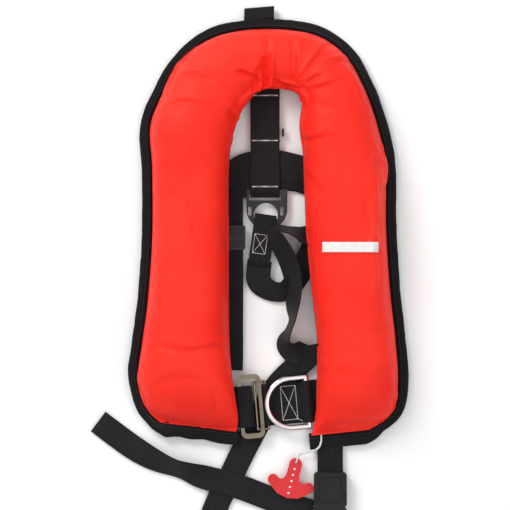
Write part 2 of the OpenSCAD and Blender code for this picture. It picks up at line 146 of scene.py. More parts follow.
def ribbon(name, points, width, material, body, thick=1.4, steps=4, across=None, replaces=(),
           ripple=0.0, edge=0.28):
    """Flat webbing in mm along x, y, z and roll, with rolled selvedges. across fixes its width."""
    p = smooth(points, steps)
    along = tangents(p)
    n = len(p)
    section = [(-1, -0.25), (-1, 0.25), (-0.97, 0.5), (-0.9, 0.5 + edge * 0.3), (-0.8, 0.5)]
    section += [(-0.8 + 1.6 * k / 8, 0.5) for k in range(1, 8)]
    section += [(0.8, 0.5), (0.9, 0.5 + edge * 0.3), (0.97, 0.5), (1, 0.25)]
    under = [(-a, -b) for a, b in section]
    ring = section + under
    walk = distances(p[:, :3])
    verts, uvs = [], []
    for i in range(n):
        t = along[i]
        if across is not None:
            w = np.asarray(across, float)
            up = np.cross(t, w)
        else:
            roll = math.radians(p[i][3]) if p.shape[1] > 3 else 0.0
            level = np.cross([0, 0, 1], t)
            level /= np.linalg.norm(level)
            w = math.cos(roll) * level + math.sin(roll) * np.cross(t, level)
            up = np.cross(t, w)
        for a, b in ring:
            wave = ripple * math.sin(walk[i] / 9.0 + a * 1.3) * (0.4 + abs(a))
            v = p[i][:3] + w * a * width / 2 + up * (b * thick + wave)
            verts.append(v * MM)
            uvs.append(((a + 1) / 2 * width * MM, walk[i] * MM))
    m = len(ring)
    piece = new_object(name, verts, skin(n, m) + caps(n, m), material, body, uvs, replaces)
    piece["strap_length"] = float(walk[-1])
    return piece


def stitches(name, runs, material, body, step=2.6, thick=0.42, replaces=()):
    """Rows of single thread stitches in mm: each run is a polyline that the thread follows."""
    verts, faces = [], []
    for run in runs:
        p = np.asarray(run, float)
        walk = distances(p)
        count = max(1, int(walk[-1] / step))
        for k in range(count):
            ends = [(k + 0.08) * walk[-1] / count, (k + 0.92) * walk[-1] / count]
            q = [np.array([np.interp(s, walk, p[:, c]) for c in range(3)])
                 for s in (ends[0], sum(ends) / 2, ends[1])]
            q[1][2] += thick * 0.5
            d = q[2] - q[0]
            if np.linalg.norm(d) < 1e-6:
                continue
            d /= np.linalg.norm(d)
            side = np.cross([0, 0, 1], d)
            if np.linalg.norm(side) < 0.1:
                side = np.cross([1, 0, 0], d)
            side /= np.linalg.norm(side)
            up = np.cross(d, side)
            base = len(verts)
            for c, size in zip(q, (0.55, 1, 0.55)):
                for j in range(6):
                    a = j * math.pi / 3
                    verts.append((c + (math.cos(a) * side + math.sin(a) * up) * thick * size) * MM)
            faces += skin(3, 6, base) + caps(3, 6, base)
    return new_object(name, verts, faces, material, body, None, replaces)


# ---------------------------------------------------------------- materials


class Finish:
    """A procedural material: a Principled shader with its nodes, built step by step."""

    def __init__(self, name, color, rough, metal=0.0, sheen=0.0, coat=0.0, spec=0.5, uv=False):
        self.material = bpy.data.materials.new(name)
        self.material.use_nodes = True
        self.tree = self.material.node_tree
        self.shader = self.tree.nodes["Principled BSDF"]
        self.color = color
        self.shader.inputs["Base Color"].default_value = (*color, 1)
        self.shader.inputs["Roughness"].default_value = rough
        self.shader.inputs["Metallic"].default_value = metal
        self.shader.inputs["Sheen Weight"].default_value = sheen
        self.shader.inputs["Sheen Roughness"].default_value = 0.4
        self.shader.inputs["Coat Weight"].default_value = coat
        self.shader.inputs["Specular IOR Level"].default_value = spec
        coords = self.tree.nodes.new("ShaderNodeTexCoord")
        self.where = coords.outputs["UV" if uv else "Object"]
        self.normal = None

    def add(self, kind, **values):
        node = self.tree.nodes.new(kind)
        for key, value in values.items():
            if hasattr(node, key) and key not in node.inputs:
                setattr(node, key, value)
            else:
                node.inputs[key].default_value = value
        return node

    def link(self, a, b):
        self.tree.links.new(a, b)

    def scaled(self, scale, turn=0.0):
        m = self.add("ShaderNodeMapping")
        m.inputs["Scale"].default_value = scale
        m.inputs["Rotation"].default_value = (0, 0, turn)
        self.link(self.where, m.inputs["Vector"])
        return m.outputs["Vector"]

    def noise(self, scale, detail=3.0, stretch=(1, 1, 1)):
        n = self.add("ShaderNodeTexNoise", Scale=scale, Detail=detail)
        self.link(self.scaled(stretch), n.inputs["Vector"])
        return n.outputs["Fac"]

    def wave(self, pitch, axis="X", turn=0.0):
        """Bands with the given pitch in metres."""
        w = self.add("ShaderNodeTexWave", bands_direction=axis)
        w.inputs["Scale"].default_value = 0.314 / pitch
        self.link(self.scaled((1, 1, 1), turn), w.inputs["Vector"])
        return w.outputs["Fac"]

    def math(self, kind, a, b):
        m = self.add("ShaderNodeMath", operation=kind)
        for value, socket in ((a, m.inputs[0]), (b, m.inputs[1])):
            if isinstance(value, (int, float)):
                socket.default_value = value
            else:
                self.link(value, socket)
        return m.outputs[0]

    def tint(self, fac, other, low=0.3, high=0.7):
        """Varies the base colour towards other where fac is high."""
        ramp = self.add("ShaderNodeMapRange")
        ramp.inputs["From Min"].default_value = low
        ramp.inputs["From Max"].default_value = high
        self.link(fac, ramp.inputs["Value"])
        mix = self.add("ShaderNodeMix", data_type="RGBA")
        socket = self.shader.inputs["Base Color"]
        if socket.is_linked:
            self.link(socket.links[0].from_socket, mix.inputs[6])
        else:
            mix.inputs[6].default_value = (*self.color, 1)
        mix.inputs[7].default_value = (*other, 1)
        self.link(ramp.outputs["Result"], mix.inputs[0])
        self.link(mix.outputs[2], socket)

    def roughen(self, fac, low, high):
        ramp = self.add("ShaderNodeMapRange")
        ramp.inputs["To Min"].default_value = low
        ramp.inputs["To Max"].default_value = high
        self.link(fac, ramp.inputs["Value"])
        self.link(ramp.outputs["Result"], self.shader.inputs["Roughness"])

    def bump(self, fac, distance, strength=1.0):
        b = self.add("ShaderNodeBump", Strength=strength, Distance=distance)
        self.link(fac, b.inputs["Height"])
        if self.normal is not None:
            self.link(self.normal, b.inputs["Normal"])
        self.normal = b.outputs["Normal"]
        self.link(self.normal, self.shader.inputs["Normal"])


def nylon(name, color, dark, rough=0.55, sheen=0.04, crumple=0.0025):
    """Plain-woven cloth with soft creases and a fine weave."""
    f = Finish(name, color, rough, sheen=sheen, spec=0.22)
    f.tint(f.noise(14, 4), dark, 0.45, 0.85)
    f.bump(f.noise(26, 5), crumple, 0.35)
    f.bump(f.noise(90, 3, (1, 0.35, 1)), 0.0006, 0.35)
    cloth = f.math("ADD", f.wave(0.0011, "X", 0.2), f.wave(0.0011, "Y", 0.2))
    f.bump(cloth, 0.00008, 0.6)
    f.roughen(f.noise(300, 2), rough - 0.08, rough + 0.08)
    return f.material


def webbing(name, color, light, rough=0.6, pitch=0.0022):
    """Woven strap: herringbone ribs along the strap from its own u, v in metres."""
    f = Finish(name, color, rough, sheen=0.04, spec=0.16, uv=True)
    split = f.add("ShaderNodeSeparateXYZ")
    f.link(f.where, split.inputs[0])
    u, v = split.outputs[0], split.outputs[1]
    zig = f.math("PINGPONG", u, 0.0034)
    height = f.math("SINE", f.math("MULTIPLY", f.math("ADD", v, zig), 2 * math.pi / pitch), 0)
    columns = f.math("SINE", f.math("MULTIPLY", u, 2 * math.pi / 0.0017), 0)
    both = f.math("ADD", height, f.math("MULTIPLY", columns, 0.6))
    f.tint(f.math("ADD", f.math("MULTIPLY", both, 0.25), 0.5), light, 0.3, 1.0)
    f.tint(f.noise(40, 3), tuple(min(1, c * 1.8) for c in color), 0.4, 0.9)
    f.bump(both, 0.00022, 0.8)
    return f.material


def plastic(name, color, rough=0.42, grain=900, depth=0.00012, worn=None, coat=0.0, spec=0.35):
    """Moulded plastic with a fine grain, paler where it is worn."""
    f = Finish(name, color, rough, coat=coat, spec=spec)
    f.bump(f.noise(grain, 3), depth, 0.5)
    f.bump(f.noise(45, 2), 0.0006, 0.2)
    f.tint(f.noise(25, 4), worn or tuple(min(1, c * 1.5 + 0.01) for c in color), 0.45, 0.9)
    f.roughen(f.noise(120, 4), rough - 0.1, rough + 0.12)
    return f.material


def metal(name, color, rough, brushed=(1, 1, 1), stain=None, rim=None):
    """Metal with a brushed or even finish; rim is a painted shade colour that darkens what is seen
    at a slant.
    """
    f = Finish(name, color, rough, metal=1.0)
    if rim:
        # Painted shade: the colour turns towards rim where the surface faces away from the view.
        edge = f.add("ShaderNodeLayerWeight", Blend=0.42)
        f.tint(edge.outputs["Facing"], rim, 0.25, 0.75)
    f.roughen(f.noise(500, 4, brushed), max(0.03, rough - 0.07), rough + 0.09)
    f.bump(f.noise(700, 3, brushed), 0.00005, 0.35)
    f.tint(f.noise(60, 4), stain or tuple(c * 0.8 for c in color), 0.5, 0.85)
    return f.material


def yarn(name, color, pitch=0.0012, rough=0.65):
    """Thread or braid with crossed twists."""
    f = Finish(name, color, rough, sheen=0.3)
    twist = f.math("ADD", f.wave(pitch, "X", 0.8), f.wave(pitch, "X", -0.8))
    f.bump(twist, 0.0003, 0.8)
    f.tint(f.noise(200, 3), tuple(c * 0.72 for c in color), 0.4, 0.8)
    return f.material


red_nylon = nylon("orange_red_nylon", (0.95, 0.026, 0.012), (0.82, 0.012, 0.006))
panel_cloth = nylon("back_panel_cloth", (0.014, 0.014, 0.016), (0.03, 0.03, 0.034), 0.7)
tape_black = webbing("binding_tape", (0.004, 0.004, 0.005), (0.018, 0.018, 0.02), 0.6, 0.0013)
web_black = webbing("black_webbing", (0.0045, 0.0045, 0.0055), (0.022, 0.022, 0.026))
web_soft = webbing("black_webbing_soft", (0.005, 0.0055, 0.0065), (0.026, 0.028, 0.033), 0.55,
                   0.0026)
web_white = webbing("pale_webbing", (0.75, 0.74, 0.70), (0.9, 0.9, 0.86))
thread_white = yarn("white_thread", (0.78, 0.78, 0.76))
thread_black = yarn("black_thread", (0.02, 0.02, 0.022))
cord_white = yarn("white_cord", (0.80, 0.80, 0.78), 0.0016)
hook_tape = plastic("hook_tape", (0.03, 0.03, 0.033), 0.85, 1500, 0.0006)
black_plastic = plastic("moulded_black", (0.006, 0.006, 0.0065), 0.34,
                        worn=(0.012, 0.012, 0.013), spec=0.3)
dark_plastic = plastic("moulded_charcoal", (0.016, 0.016, 0.017), 0.4, 700,
                       worn=(0.028, 0.028, 0.03), spec=0.3)
red_plastic = plastic("red_handle", (0.66, 0.022, 0.026), 0.33, 600, 0.0001,
                      (0.50, 0.012, 0.018), 0.1)
white_plastic = plastic("white_plastic", (0.75, 0.75, 0.72), 0.4)
yellow_plastic = plastic("yellow_plastic", (0.85, 0.62, 0.03), 0.4)
green_plastic = plastic("green_plastic", (0.03, 0.38, 0.08), 0.4)
orange_plastic = plastic("orange_plastic", (0.85, 0.22, 0.02), 0.4)
rubber = plastic("black_rubber", (0.02, 0.02, 0.02), 0.75, 500, 0.0002)
bladder_cloth = nylon("bladder_coating", (0.88, 0.72, 0.05), (0.74, 0.55, 0.03), 0.35, 0.05)
# The last colours of polished_steel and bronzed_steel are painted shade for their slanting faces.
chrome = metal("polished_steel", (0.88, 0.80, 0.80), 0.09, stain=(0.7, 0.62, 0.62),
               rim=(0.05, 0.035, 0.04))
stainless = metal("bronzed_steel", (0.28, 0.235, 0.175), 0.22, (1, 0.1, 1), (0.16, 0.125, 0.09),
                  (0.05, 0.04, 0.03))
bright_steel = metal("bright_steel", (0.42, 0.41, 0.39), 0.24, (1, 0.1, 1))
brass = metal("brass", (0.80, 0.58, 0.25), 0.3)
grey_paint = plastic("painted_cylinder", (0.30, 0.31, 0.32), 0.35, 800)


def reflective():
    """Pale film with the small cells of a reflector."""
    f = Finish("pale_reflective", (0.82, 0.80, 0.79), 0.4)
    cells = f.add("ShaderNodeTexVoronoi", Scale=600)
    f.link(f.scaled((1, 1, 1)), cells.inputs["Vector"])
    f.bump(cells.outputs["Distance"], 0.00012, 0.6)
    f.tint(f.noise(160, 3), (0.7, 0.68, 0.68), 0.4, 0.8)
    return f.material


pale_reflective = reflective()

# ---------------------------------------------------------------- camera and cord

floor_z = float(cad_box[0][2])
view_centre = Vector((-0.0165, -0.219, 0.0))
view_width = 0.561
camera_height = 2.2
cam_data = bpy.data.cameras.new("camera")
sensor = 36
cam_data.sensor_width = sensor
cam_data.lens = sensor * camera_height / view_width
camera = bpy.data.objects.new("camera", cam_data)
camera.location = view_centre + Vector((0, 0, camera_height))
scene.collection.objects.link(camera)
scene.camera = camera

cord_d = 0.0022
cord_route = [
    (56, -352, 7.8), (56, -361, 7.8), (56, -370, 7.8), (56, -379, 7.8), (56, -388, 7.8),
    (56, -397, 7.8), (56, -406, 7.8), (56, -415, 7.8), (56, -423, 7.8), (54, -429, 7.4),
    (49.5, -433, 6.4), (43, -435, 5.2), (38, -436, 4.6), (33, -438, 4.3), (30.2, -442, 4.3),
]
cord_line = smooth(cord_route, 4)
cord_curve = bpy.data.curves.new("pull_cord_braid", "CURVE")
cord_curve.dimensions = "3D"
cord_curve.bevel_depth = cord_d / 2
cord_curve.bevel_resolution = 3
cord_curve.use_fill_caps = True
spline = cord_curve.splines.new("POLY")
spline.points.add(len(cord_line) - 1)
for point, place in zip(spline.points, cord_line):
    point.co = (*(place * MM), 1)
cord_curve.materials.append(cord_white)
cord = bpy.data.objects.new("pull_cord_braid", cord_curve)
scene.collection.objects.link(cord)
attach(cord, "pull")
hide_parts("pull_cord")

# ---------------------------------------------------------------- front cover

lobe_h, foot = 58.0, 7.6        # top of the lobes and height of the sewn edge
sewn_in = 3.0                   # the sewn edge lies this far inside the puffed outline
# Outer edge x, y, inner edge x, y, height, and foot of the inner edge.
stations = np.array([
    (-124, -402, -34, -413, 11, 10), (-138, -386, -32, -396, 36, 15.6),
    (-147, -352, -37, -362, 54, 15.6), (-143, -315, -41, -322, 58, 9),
    (-137, -270, -42, -270, 58, 7.6),
    (-132, -200, -42, -200, 58, 7.6), (-132, -125, -42, -125, 58, 7.6),
    (-134, -78, -37, -86, 58, 7.6),
    (-120, -42, -28, -62, 55, 7.6), (-100, -8, -20, -49, 52, 7.6), (-64, 21, -10, -42, 48, 7.6),
    (-12, 31, 4, -39, 46, 7.6), (45, 26, 16, -39, 48, 7.6), (82, 4, 25, -41, 52, 7.6),
    (104, -32, 32, -49, 55, 7.6), (120, -76, 29, -78, 58, 7.6), (129, -122, 33, -112, 58, 7.6),
    (130, -190, 36, -190, 58, 14.5), (134, -255, 42, -255, 58, 12), (140, -310, 48, -310, 58, 7.6),
    (143, -358, 48, -362, 52, 9), (137, -390, 47, -396, 34, 10), (112, -410, 42, -417, 13, 13.6),
], float)


def loft(steps, across):
    """Open arches over the stations: rows of points, from the outer edge to the inner one."""
    s = smooth(stations, steps)
    rows = np.zeros((len(s), across, 3))
    for i, (ox, oy, ix, iy, h, foot_in) in enumerate(s):
        w = math.hypot(ix - ox, iy - oy)
        dx, dy = (ix - ox) / w * sewn_in, (iy - oy) / w * sewn_in
        ox, oy, ix, iy = ox + dx, oy + dy, ix - dx, iy - dy
        for k in range(across):
            a = math.pi * k / (across - 1)
            a = a - 0.10 * math.sin(2 * a)
            f = (1 - math.cos(a)) / 2
            inset = 2.0 * math.sin(a)
            base = foot + (foot_in - foot) * f ** 3
            z = base + max(h - base - 1.0, 1.0) * max(math.sin(a), 0) ** 0.62
            rows[i, k] = (ox + (ix - ox) * f, oy + (iy - oy) * f, z - inset * 0.2)
    return rows


def grid_mesh(rows):
    return rows.reshape(-1, 3), grid_faces(*rows.shape[:2])


def grid_normals(rows):
    """Outward direction at each point of the cover's grid."""
    u = np.gradient(rows, axis=0)
    v = np.gradient(rows, axis=1)
    n = np.cross(v, u)
    n /= np.maximum(np.linalg.norm(n, axis=2, keepdims=True), 1e-9)
    n[n[:, :, 2].mean(axis=1) < 0] *= -1
    return n


# How far the simulation may move a point, in mm, and its number of frames.
inward_cap, outward_cap, side_cap = 1.6, 4.5, 4.0
cloth_frames = 20


def soft_limit(x, low, high):
    """x held smoothly between -low and high."""
    return np.where(x > 0, high * np.tanh(x / high), -low * np.tanh(-x / low))


def inflate(rows):
    """Cloth simulation of the cover: pressed out from inside, held along its sewn edges."""
    verts, faces = grid_mesh(rows * MM)
    work = bpy.data.meshes.new("cover_cloth")
    work.from_pydata([tuple(v) for v in verts], [], faces)
    obj = bpy.data.objects.new("cover_cloth", work)
    scene.collection.objects.link(obj)
    held = obj.vertex_groups.new(name="held")
    n, m, _ = rows.shape
    edge = [i * m + j for i in range(n) for j in range(m)
            if j in (0, 1, m - 1, m - 2) or i in (0, n - 1)]
    held.add(edge, 1.0, "REPLACE")
    cloth = obj.modifiers.new("cloth", "CLOTH")
    c = cloth.settings
    c.quality = 6
    c.mass = 0.15
    c.tension_stiffness = c.compression_stiffness = 30
    c.shear_stiffness = 8
    c.bending_stiffness = 0.6
    c.use_pressure = True
    c.uniform_pressure_force = 9.0
    c.shrink_min = c.shrink_max = -0.03
    c.vertex_group_mass = "held"
    c.effector_weights.gravity = 0
    cloth.point_cache.frame_start = 1
    cloth.point_cache.frame_end = cloth_frames
    for f in range(1, cloth_frames + 1):
        scene.frame_set(f)
    ready = obj.evaluated_get(bpy.context.evaluated_depsgraph_get())
    co = np.zeros(len(work.vertices) * 3)
    ready.data.vertices.foreach_get("co", co)
    scene.frame_set(1)
    bpy.data.objects.remove(obj)
    co = co.reshape(rows.shape) / MM
    out = grid_normals(rows)
    move = co - rows
    along = (move * out).sum(axis=2, keepdims=True)
    side = move - along * out
    reach = np.linalg.norm(side, axis=2, keepdims=True)
    side *= np.minimum(1, side_cap / np.maximum(reach, 1e-9))
    return rows + side + out * soft_limit(along, inward_cap, outward_cap)


row_steps, row_points = ((13, 54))
rows = loft(row_steps, row_points)
rows = inflate(rows)
rows = smooth(smooth(rows, 2).transpose(1, 0, 2), 2).transpose(1, 0, 2)
n_rows, n_cols, _ = rows.shape


def crease(rows, line, depth, width, ridge=0.5):
    """Presses a fold along a plan-view polyline in mm: a groove with a soft ridge beside it."""
    p = smooth(line, 6)[:, :2]
    flat = rows[:, :, :2].reshape(-1, 2)
    best = np.full(len(flat), 1e9)
    fade = np.zeros(len(flat))
    side = np.zeros(len(flat))
    walk = np.linspace(0, 1, len(p))
    for i in range(len(p) - 1):
        a, b = p[i], p[i + 1]
        d = b - a
        t = np.clip(((flat - a) @ d) / (d @ d), 0, 1)
        q = flat - (a + t[:, None] * d)
        r = np.linalg.norm(q, axis=1)
        hit = r < best
        best[hit] = r[hit]
        side[hit] = np.sign(d[0] * q[hit, 1] - d[1] * q[hit, 0])
        fade[hit] = walk[i] + t[hit] * (walk[i + 1] - walk[i])
    strength = np.sin(np.pi * np.clip(fade * 0.94 + 0.03, 0, 1)) ** 0.6
    groove = -depth * np.exp(-(best / width) ** 2)
    hump = ridge * depth * np.exp(-((best - 1.9 * width) / width) ** 2) * (side > 0)
    up = grid_normals(rows).reshape(-1, 3)
    shift = ((groove + hump) * strength)[:, None] * up
    level = np.clip((up[:, 2] - 0.05) / 0.4, 0, 1)
    out = rows.reshape(-1, 3) + shift * level[:, None]
    return out.reshape(rows.shape)


# Folds of the fabric in plan view, most of them at the collar: line, depth, width and ridge.
folds = [
    ([(-5.5, -5), (-5.5, -22), (-4.5, -38)], 10.0, 3.6, 0.4),
    ([(-11, -16), (-14, -28), (-17, -42)], 5.0, 2.6, 0.7),
    ([(-36, -21), (-26, -24), (-16, -29)], 4.0, 2.4, 0.7),
    ([(-2, 16), (-2, -4), (-2, -26)], 2.8, 2.2, 0.5),
    ([(-2, -20), (5, -33), (34, -41)], 3.2, 2.6, 0.6),
    ([(25, 14), (25, -10), (24, -38)], 3.2, 2.6, 0.6),
    ([(35, -28), (52, -4), (65, 12)], 3.0, 2.6, 0.6),
    ([(39, -34), (47, -29), (56, -25)], 2.4, 2.2, 0.6),
    ([(62, -11), (76, -9), (92, -7)], 3.4, 2.2, 0.7),
    ([(68, -13), (84, -32), (97, -54)], 2.6, 4.0, 0.5),
    ([(46, -41), (60, -38), (76, -31)], 2.4, 3.0, 0.6),
    ([(-97, -31), (-84, -25), (-64, -33)], 2.4, 3.2, 0.5),
    ([(-112, -61), (-94, -55), (-62, -61)], 2.4, 3.4, 0.5),
    ([(-70, -18), (-52, -30), (-34, -46)], 1.6, 4.5, 0.4),
    ([(-44, -64), (-40, -70), (-37, -82)], 4.2, 2.6, 0.8),
    ([(33, -92), (44, -96), (62, -90)], 2.4, 3.2, 0.7),
    ([(36, -132), (44, -140), (52, -152)], 1.6, 4.0, 0.5),
    ([(95, -60), (78, -62), (52, -58)], 1.4, 5.0, 0.4),
    ([(-118, -318), (-90, -323), (-60, -319), (-44, -322)], 2.4, 3.6, 0.5),
    ([(-128, -362), (-100, -352), (-70, -356)], 1.4, 5.0, 0.4),
    ([(76, -402), (86, -404), (100, -402)], 2.6, 3.6, 0.4),
    ([(130, -300), (112, -304), (90, -300)], 1.2, 5.0, 0.4),
    ([(60, -350), (76, -346), (100, -352)], 1.2, 5.5, 0.4),
    ([(-128, -225), (-108, -230), (-84, -226)], 1.0, 6.0, 0.4),
    ([(-60, -395), (-58, -380), (-62, -362)], 1.6, 4.0, 0.5),
]
for line, depth, width, ridge in folds:
    rows = crease(rows, line, depth, width, ridge)


def soften(rows, passes):
    """Evens out the grid without moving its edges."""
    for _ in range(passes):
        mean = (rows[:-2, 1:-1] + rows[2:, 1:-1] + rows[1:-1, :-2] + rows[1:-1, 2:]) / 4
        rows[1:-1, 1:-1] = rows[1:-1, 1:-1] * 0.5 + mean * 0.5
    return rows


rows = soften(rows, 2)

# Small puckers where the cover is gathered into its sewn edges, and a soft unevenness all over.
arcs = [distances(rows[:, k, :2]) for k in (0, -1)]
up = grid_normals(rows)
for i in range(n_rows):
    for j in range(n_cols):
        near = min(j, n_cols - 1 - j) / (n_cols - 1)
        if min(j, n_cols - 1 - j) < 4:
            continue
        pucker = math.exp(-((near - 0.10) / 0.09) ** 2)
        p = Vector(rows[i, j]) * 0.02
        swell = noise.noise(p * 0.9) * 1.8 + noise.noise(p * 2.3 + Vector((5, 1, 2))) * 0.7
        arc = arcs[0 if j < n_cols / 2 else 1][i]
        gather = noise.noise(Vector((arc * 0.10, j * 0.025, 3))) * 1.6 * pucker
        rows[i, j] += up[i, j] * (swell * min(1, near * 6) + gather)

rows = soften(rows, 1)
swell_room = 3.0
rows[:, :, 2] = np.clip(rows[:, :, 2], foot, lobe_h + swell_room)
verts, faces = grid_mesh(rows * MM)
cover = new_object("cover_shell", verts, [f[::-1] for f in faces], red_nylon, "jacket",
                   None, ["front_cover"])
thick = cover.modifiers.new("cloth_thickness", "SOLIDIFY")
thick.thickness = 0.0007
thick.offset = -1

# ---------------------------------------------------------------- edge binding and panel

edges = smooth(stations, 10)
outer, inner = edges[:, :2], edges[:, 2:4]


right_end = (42.5, -416.5)      # where the right hem stops, in mm


def along_line(a, b, count):
    """Evenly spaced points from a up to, but not at, b."""
    return [tuple(np.array(a) + (np.array(b) - np.array(a)) * k / count) for k in range(count)]


left_hem = along_line(inner[0], outer[0], 24)
right_hem = along_line(outer[-1], right_end, 24)
rim = np.array(left_hem + [tuple(p) for p in outer] + right_hem[1:] + [right_end])
walk = distances(rim)
count = int(walk[-1] / 2.2)
rim = np.stack([np.interp(np.linspace(0, walk[-1], count), walk, rim[:, c]) for c in (0, 1)], 1)
for _ in range(3):
    rim[1:-1] = (rim[:-2] + rim[1:-1] * 2 + rim[2:]) / 4
run = distances(rim)
hem_left = float(np.linalg.norm(outer[0] - inner[0]))
hem_right = run[-1] - float(np.linalg.norm(outer[-1] - right_end))


def ease(x, a, b):
    """Smooth step from 0 at a to 1 at b."""
    t = min(max((x - a) / (b - a), 0), 1)
    return t * t * (3 - 2 * t)


def binding():
    """Tape folded over the jacket's edge, broader at the hems, and the seam that holds it."""
    verts, uvs, seam_line = [], [], []
    sides = 20
    n = len(rim)
    for i in range(n):
        t = rim[min(i + 1, n - 1)] - rim[max(i - 1, 0)]
        t = t / np.linalg.norm(t)
        out = np.array([-t[1], t[0]])
        s = run[i]
        left = 1 - ease(s, hem_left - 14, hem_left + 10)
        right = ease(s, hem_right - 10, hem_right + 10)
        wavy = noise.noise(Vector((s * 0.055, 7.3, 0)))
        fine = noise.noise(Vector((s * 0.16, 2.1, 0)))
        half = 5.4 + 2.4 * left + 3.4 * right + wavy * (0.5 + 2.2 * left) + fine * 0.25
        middle = 3.4 + 2.2 * left + 4.0 * right + wavy * 1.2 * left
        z = 5.6 + wavy * (0.5 + 1.2 * left) - 1.2 * right
        tall = 2.9 - 1.3 * right - 0.6 * left
        for k in range(sides):
            a = 2 * math.pi * k / sides
            ca, sa = math.cos(a), math.sin(a)
            x = math.copysign(abs(ca) ** 0.7, ca) * half
            y = math.copysign(abs(sa) ** 0.7, sa) * tall + fine * 0.3
            c = rim[i] + out * (middle + x)
            verts.append(np.array([c[0], c[1], max(z + y, 0.4)]) * MM)
            uvs.append((a / (2 * math.pi) * 0.03, s * MM))
        c = rim[i] + out * (middle - half * 0.35)
        seam_line.append((c[0], c[1], z + (tall + 0.05) + fine * 0.3))
    tape = new_object("binding_tape", verts, skin(n, sides) + caps(n, sides), tape_black,
                      "jacket", uvs, ["edge_binding"])
    seam = stitches("binding_seam", [seam_line], thread_black, "jacket", 3.0, 0.32)
    return tape, seam


tape, seam = binding()


def soft_panel():
    """The flat back panel, with a slight quilted unevenness, between the two edges."""
    n, m = len(outer), 16
    verts = []
    for layer in (1, 0):
        for i in range(n):
            for j in range(m):
                f = j / (m - 1)
                edge = inner[i] + (outer[i] - inner[i]) * 0.07
                x, y = outer[i] * (1 - f) + edge * f
                bulge = 0.35 * noise.noise(Vector((x * 0.03, y * 0.03, 1.0)))
                z = 1.25 + bulge if layer else 0.15
                verts.append(np.array([x, y, z]) * MM)

    def face(b, i, j):
        return (b + i * m + j, b + i * m + j + 1, b + (i + 1) * m + j + 1, b + (i + 1) * m + j)

    faces = [face(0, i, j)[::-1] for i in range(n - 1) for j in range(m - 1)]
    faces += [face(n * m, i, j) for i in range(n - 1) for j in range(m - 1)]
    ring = [i * m for i in range(n)] + [(n - 1) * m + j for j in range(1, m)]
    ring += [i * m + m - 1 for i in range(n - 2, -1, -1)] + [j for j in range(m - 2, 0, -1)]
    k = len(ring)
    faces += [(ring[a], ring[(a + 1) % k], ring[(a + 1) % k] + n * m, ring[a] + n * m)
              for a in range(k)]
    piece = new_object("panel_cloth", verts, faces, panel_cloth, "jacket", None, ["back_panel"])


soft_panel()

# ---------------------------------------------------------------- webbing

# The line of the steel buckle and the D-ring lies a little askew. All webbing below is in mm.
belt_mid = 4.1                  # height of the middle of the waist belt's webbing
turn = math.radians(5)
line_middle = np.array([0, -383, 0.0])
line_x = np.array([math.cos(turn), math.sin(turn), 0])
line_y = np.array([-math.sin(turn), math.cos(turn), 0])


def on_line(profile):
    """Side profile of x, z on the buckle line, as 3-D points in mm."""
    return [tuple(line_middle + line_x * x + np.array([0, 0, z])) for x, z in profile]


def oval(start, length, h, count=10):
    """Side profile of a flat loop of the given length and height, as (along, z) points."""
    r = h / 2
    pts = [(start + length - r - (length - 2 * r) * k / 4, h) for k in range(5)]
    pts += [(start + r - r * math.sin(math.pi * k / count), r + r * math.cos(math.pi * k / count))
            for k in range(1, count)]
    pts += [(start + r + (length - 2 * r) * k / 4, 0) for k in range(5)]
    pts += [(start + length - r + r * math.sin(math.pi * k / count),
             r - r * math.cos(math.pi * k / count)) for k in range(1, count + 1)]
    return pts


def strap(name, points, width, body="jacket", node=(), material=None, **options):
    """A ribbon in the webbing material, which replaces its CAD node, if it has one."""
    piece = ribbon(name, points, width, material or web_black, body,
                   replaces=[node] if isinstance(node, str) else node, **options)
    return piece


# Back strap: a long loop that holds the plate at its lower end.
back = [(-5.5, -33 - a, h + 2.2) for a, h in oval(0.6, 121.8, 4.4)]
strap("back_strap_web", back, 32, node="back_strap", across=(-1, 0, 0), steps=3)
# The waist belt passes through that loop and goes under both lobes.
strap("waist_web_back", [(-45, -146.5, 4.8, 0), (-41.5, -141, 4.7, 0), (-36, -135, 4.5, 0),
                         (-24, -127.5, 4.2, 0), (-6, -124.6, 4.1, 0), (8, -125, 4.1, 0),
                         (20, -127.5, 5.5, 8), (32, -130, 8.4, 20),
                         (44, -134, 8.4, 20), (54, -137, 8.4, 20)], 42, node="waist_belt_back",
      steps=5)
# Its left run stays level as far up as the slider goes, then dips under the back run.
left = [(-52, -128, 2.8), (-52, -142, 3.0), (-52.1, -149, 3.8), (-52.1, -154, belt_mid),
        (-52.1, -170, belt_mid), (-52.1, -190, belt_mid), (-51.8, -240, belt_mid),
        (-52, -290, belt_mid), (-52, -330, belt_mid), (-52.5, -345, belt_mid)]
strap("waist_web_left", left, 45, node="waist_belt_left", steps=8, ripple=0.12)
roll = [(x, z + belt_mid) for x, z in oval(-37.3, 18.6, 9.8)]
lead_in = [(x, belt_mid) for x in (-70, -55, -40)]
strap("waist_web_roll", on_line(lead_in + roll[14:] + roll[:14]), 45, across=tuple(-line_y),
      steps=3)
lap, top = 5.6, 13.6            # heights of the folded-back layer and of its rise over the D-ring
fold = [(104, belt_mid), (60, belt_mid), (20, belt_mid), (-4.5, belt_mid), (-6.3, 4.9),
        (-6.9, 6.4), (-6.3, 8.1), (-4.5, 9.0), (-2, 8.7), (1, 6.4), (4.5, lap + 0.1), (14, lap),
        (24, lap), (32, lap),
        (34.5, lap + 1), (36.5, top - 4), (38, top - 1), (41, top), (44, top - 1),
        (45.5, top - 4), (47.5, lap + 1), (50, lap + 0.1), (60, lap), (86, lap)]
strap("waist_web_right", on_line(fold), 46, across=tuple(line_y), steps=4,
      node="waist_belt_right")
for name, stops, steps in (("waist_web_side", (-165, -230, -300, -360), 6),
                           ("waist_web_side_top", (-106, -130, -162), 4)):
    strap(name, [(83, y, belt_mid) for y in stops], 45, steps=steps)
tab_axis = np.array([-math.sin(math.radians(8)), -math.cos(math.radians(8)), 0])
tab_across = np.array([math.cos(math.radians(8)), -math.sin(math.radians(8)), 0])
